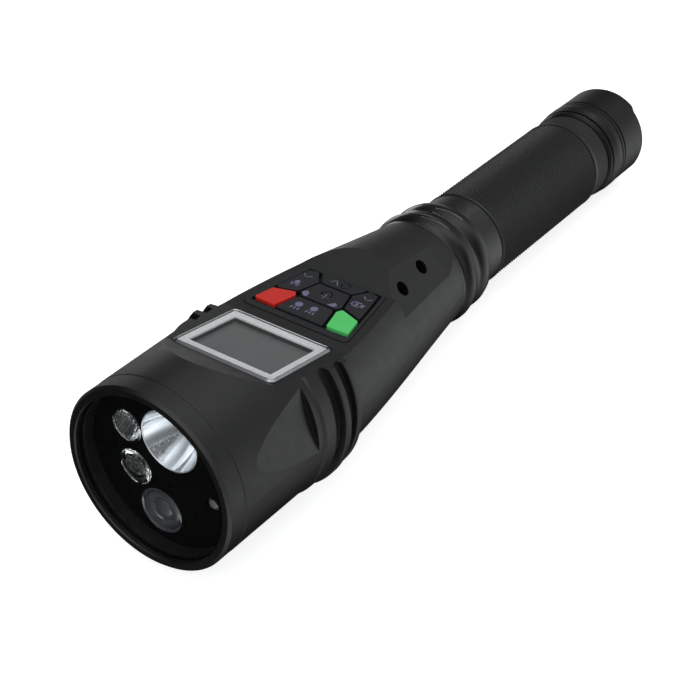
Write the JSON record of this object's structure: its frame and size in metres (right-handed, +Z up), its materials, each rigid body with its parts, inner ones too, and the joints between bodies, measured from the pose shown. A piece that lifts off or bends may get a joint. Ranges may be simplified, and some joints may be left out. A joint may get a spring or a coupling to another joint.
{
  "type": "handheld torch recorder",
  "caption": "Hand-held black torch recorder: wide turned head with lamps, camera, small display and keypad, tapering to a knurled battery grip with a screw-on tail cap.",
  "frame": {"origin": "on the long axis, at the middle of the knurled grip", "axes": "+Y along the long axis towards the tail cap, so the lamps look along -Y; +Z up on the display side; +X is the side with the two side screws"},
  "size_m": [0.0644, 0.2768, 0.0624],
  "materials": {
    "black_anodised": "satin black anodised, bead blasted",
    "window_glass": "clear toughened glass",
    "seal_rubber": "matt black rubber",
    "optics_black": "satin black moulded plastic",
    "reflector_mirror": "smooth aluminised reflector",
    "lamp_phosphor": "yellow lamp phosphor",
    "clear_lens": "moulded clear acrylic",
    "camera_glass": "coated camera lens",
    "circuit_board": "green solder mask",
    "lamp_board": "white coated metal-core board",
    "bare_aluminium": "machined",
    "screw_black": "black oxide steel",
    "screw_steel": "zinc plated steel",
    "display_silver": "satin silver",
    "display_dark": "switched-off display",
    "keypad_black": "satin black",
    "keypad_silicone": "black silicone",
    "key_red": "satin red",
    "key_green": "satin green",
    "ribbon": "amber polyimide",
    "wire_red": "insulated wire",
    "spring_metal": "plated spring steel",
    "brass_ring": "turned brass",
    "card_black": "moulded",
    "cell_sleeve": "plain blue shrink sleeve over the cell",
    "switch_case": "moulded switch case"
  },
  "bodies": {
    "torch_body": {"head_body": "black_anodised", "bezel_ring": "black_anodised", "battery_tube": "black_anodised", "front_window": "window_glass", "window_seal": "seal_rubber", "tube_front_seal": "seal_rubber", "tail_seal": "seal_rubber", "optics_panel": "optics_black", "camera_barrel": "optics_black", "camera_lens_ring": "optics_black", "microphone": "bare_aluminium", "panel_screws": "screw_black", "main_reflector": "reflector_mirror", "main_led": "lamp_phosphor", "upper_flood_led": "lamp_phosphor", "lower_flood_led": "lamp_phosphor", "main_led_board": "lamp_board", "flood_led_boards": "lamp_board", "upper_flood_lens": "clear_lens", "lower_flood_lens": "clear_lens", "light_sensor_lens": "clear_lens", "camera_front_lens": "camera_glass", "camera_board": "circuit_board", "sensor_board": "circuit_board", "main_board": "circuit_board", "keypad_board": "circuit_board", "contact_board": "circuit_board", "heat_sink": "bare_aluminium", "heat_sink_screws": "screw_steel", "display_lens": "clear_lens", "display_frame": "display_silver", "lcd_panel": "display_dark", "lcd_bracket": "screw_steel", "display_gasket": "seal_rubber", "lcd_ribbon": "ribbon", "keypad_plate": "keypad_black", "keypad_mat": "keypad_silicone", "key_switches": "switch_case", "floor_screws": "screw_steel", "inner_chassis": "optics_black", "side_screws": "screw_black", "main_board_screws": "screw_steel", "card_socket": "screw_steel", "memory_card": "card_black", "battery_leads": "wire_red", "front_spring": "spring_metal", "front_cell": "cell_sleeve", "rear_cell": "cell_sleeve"},
    "tail_contact": {"tail_spring": "spring_metal"},
    "tail_cap": {"tail_cap": "black_anodised", "tail_switch": "switch_case", "switch_retainer": "brass_ring"},
    "tail_button": {"switch_boot": "seal_rubber"},
    "red_key": {"red_key": "key_red"},
    "green_key": {"green_key": "key_green"},
    "power_key": {"power_key": "keypad_black"},
    "ok_key": {"ok_key": "keypad_black"},
    "left_key": {"left_key": "keypad_black"},
    "right_key": {"right_key": "keypad_black"},
    "lamp_key": {"lamp_key": "keypad_black"}
  },
  "joints": [
    {"name": "tail_cap_advance", "type": "slide", "parent": "torch_body", "child": "tail_contact", "axis": [0, 1, 0], "range_m": [0, 0.0075]},
    {"name": "tail_cap_turn", "type": "hinge", "parent": "tail_contact", "child": "tail_cap", "pos_m": [0, 0.0518, 0], "axis": [0, 1, 0], "range_deg": [0, 1800]},
    {"name": "tail_button_press", "type": "slide", "parent": "tail_cap", "child": "tail_button", "axis": [0, -1, 0], "range_m": [0, 0.0015], "stiffness_N_per_m": 2500, "springref_m": -0.0008},
    {"name": "red_key_press", "type": "slide", "parent": "torch_body", "child": "red_key", "axis": [0, 0, -1], "range_m": [0, 0.0006], "stiffness_N_per_m": 1500, "springref_m": -0.0006},
    {"name": "green_key_press", "type": "slide", "parent": "torch_body", "child": "green_key", "axis": [0, 0, -1], "range_m": [0, 0.0006], "stiffness_N_per_m": 1500, "springref_m": -0.0006},
    {"name": "power_key_press", "type": "slide", "parent": "torch_body", "child": "power_key", "axis": [0, 0, -1], "range_m": [0, 0.0006], "stiffness_N_per_m": 1500, "springref_m": -0.0006},
    {"name": "ok_key_press", "type": "slide", "parent": "torch_body", "child": "ok_key", "axis": [0, 0, -1], "range_m": [0, 0.0006], "stiffness_N_per_m": 1500, "springref_m": -0.0006},
    {"name": "left_key_press", "type": "slide", "parent": "torch_body", "child": "left_key", "axis": [0, 0, -1], "range_m": [0, 0.0006], "stiffness_N_per_m": 1500, "springref_m": -0.0006},
    {"name": "right_key_press", "type": "slide", "parent": "torch_body", "child": "right_key", "axis": [0, 0, -1], "range_m": [0, 0.0006], "stiffness_N_per_m": 1500, "springref_m": -0.0006},
    {"name": "lamp_key_press", "type": "slide", "parent": "torch_body", "child": "lamp_key", "axis": [0, 0, -1], "range_m": [0, 0.0006], "stiffness_N_per_m": 1500, "springref_m": -0.0006}
  ],
  "couplings": [
    {"joint": "tail_cap_turn", "follows": "tail_cap_advance", "rad_per_m": 4188.7}
  ]
}
